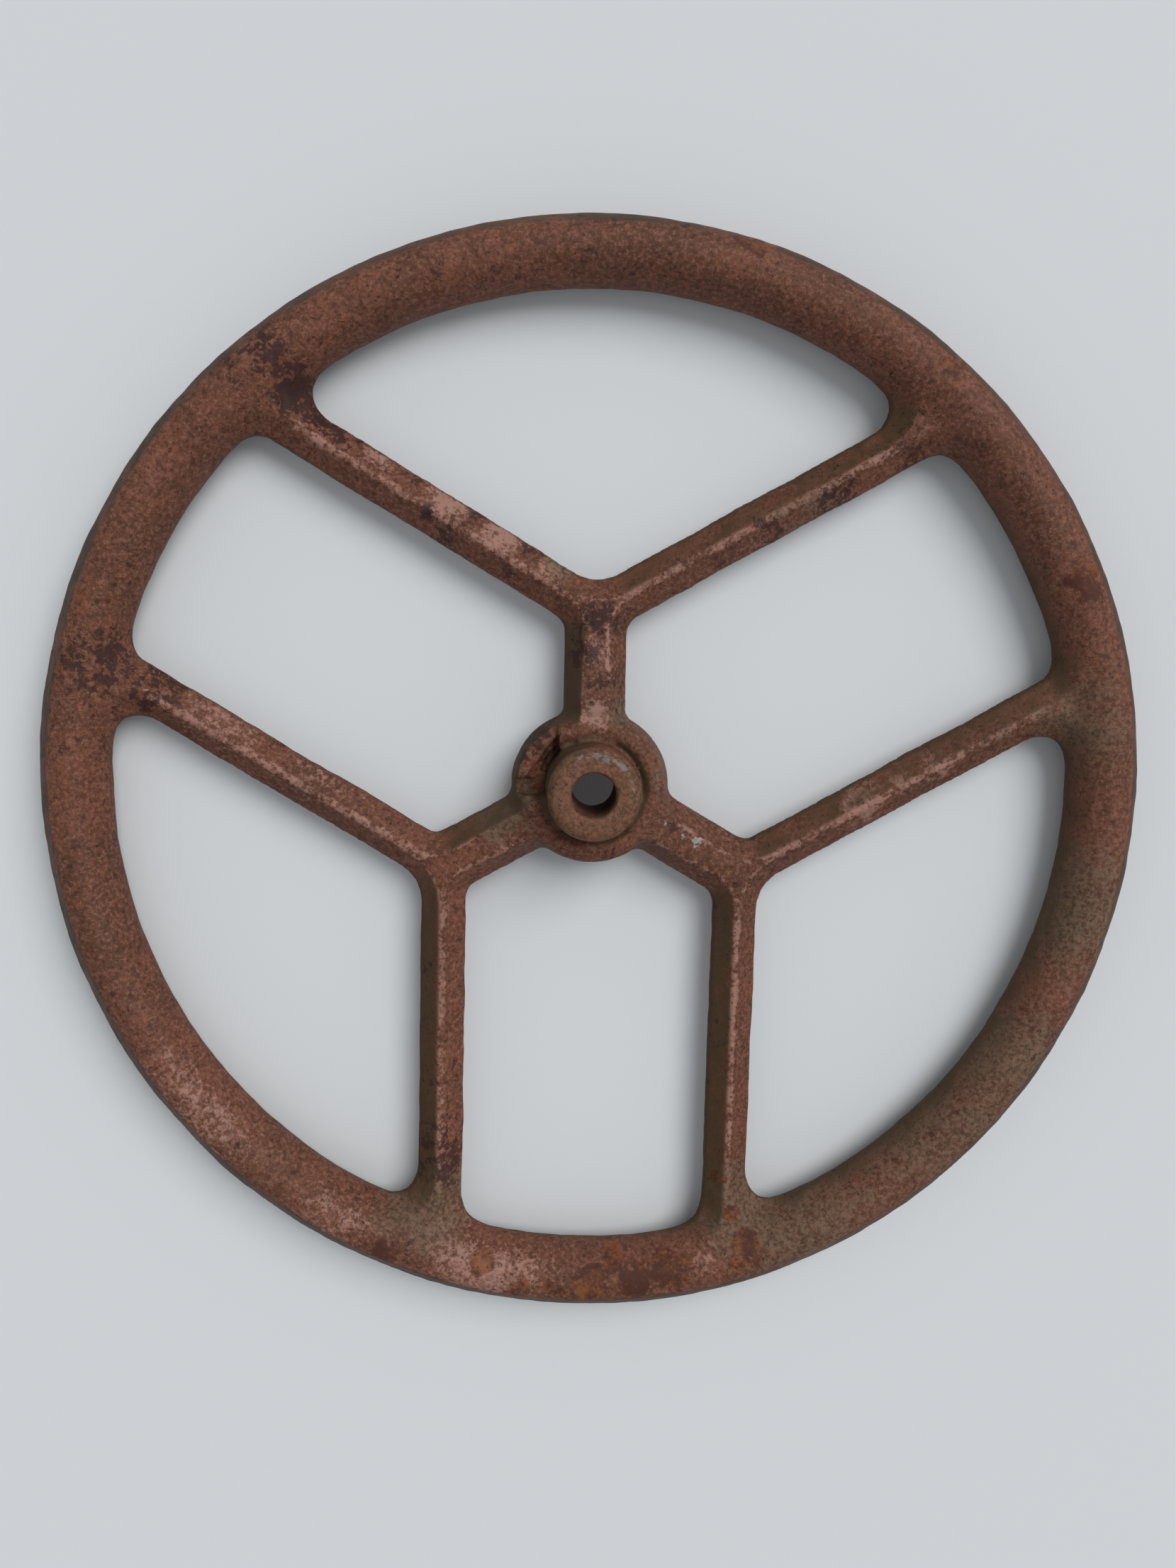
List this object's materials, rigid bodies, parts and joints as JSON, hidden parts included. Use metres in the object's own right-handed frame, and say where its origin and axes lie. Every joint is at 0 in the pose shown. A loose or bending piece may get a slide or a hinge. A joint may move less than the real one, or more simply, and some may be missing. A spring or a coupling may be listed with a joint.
{
  "type": "machine handwheel",
  "caption": "Cast handwheel with an oval rim, forked spokes and a bored hub boss, turned by hand to drive a machine shaft or screw.",
  "frame": {"origin": "on the bore axis, on the plane that the back of the rim rests on", "axes": "+Z along the bore towards the boss, +Y along the middle of the forked spoke that the lug on the flange stands beside"},
  "size_m": [0.4, 0.4, 0.047],
  "materials": {
    "casting": "worn red-brown iron-oxide paint over rough cast iron, with grime, chips and rust"
  },
  "bodies": {
    "root": {"handwheel": "casting"}
  },
  "joints": []
}
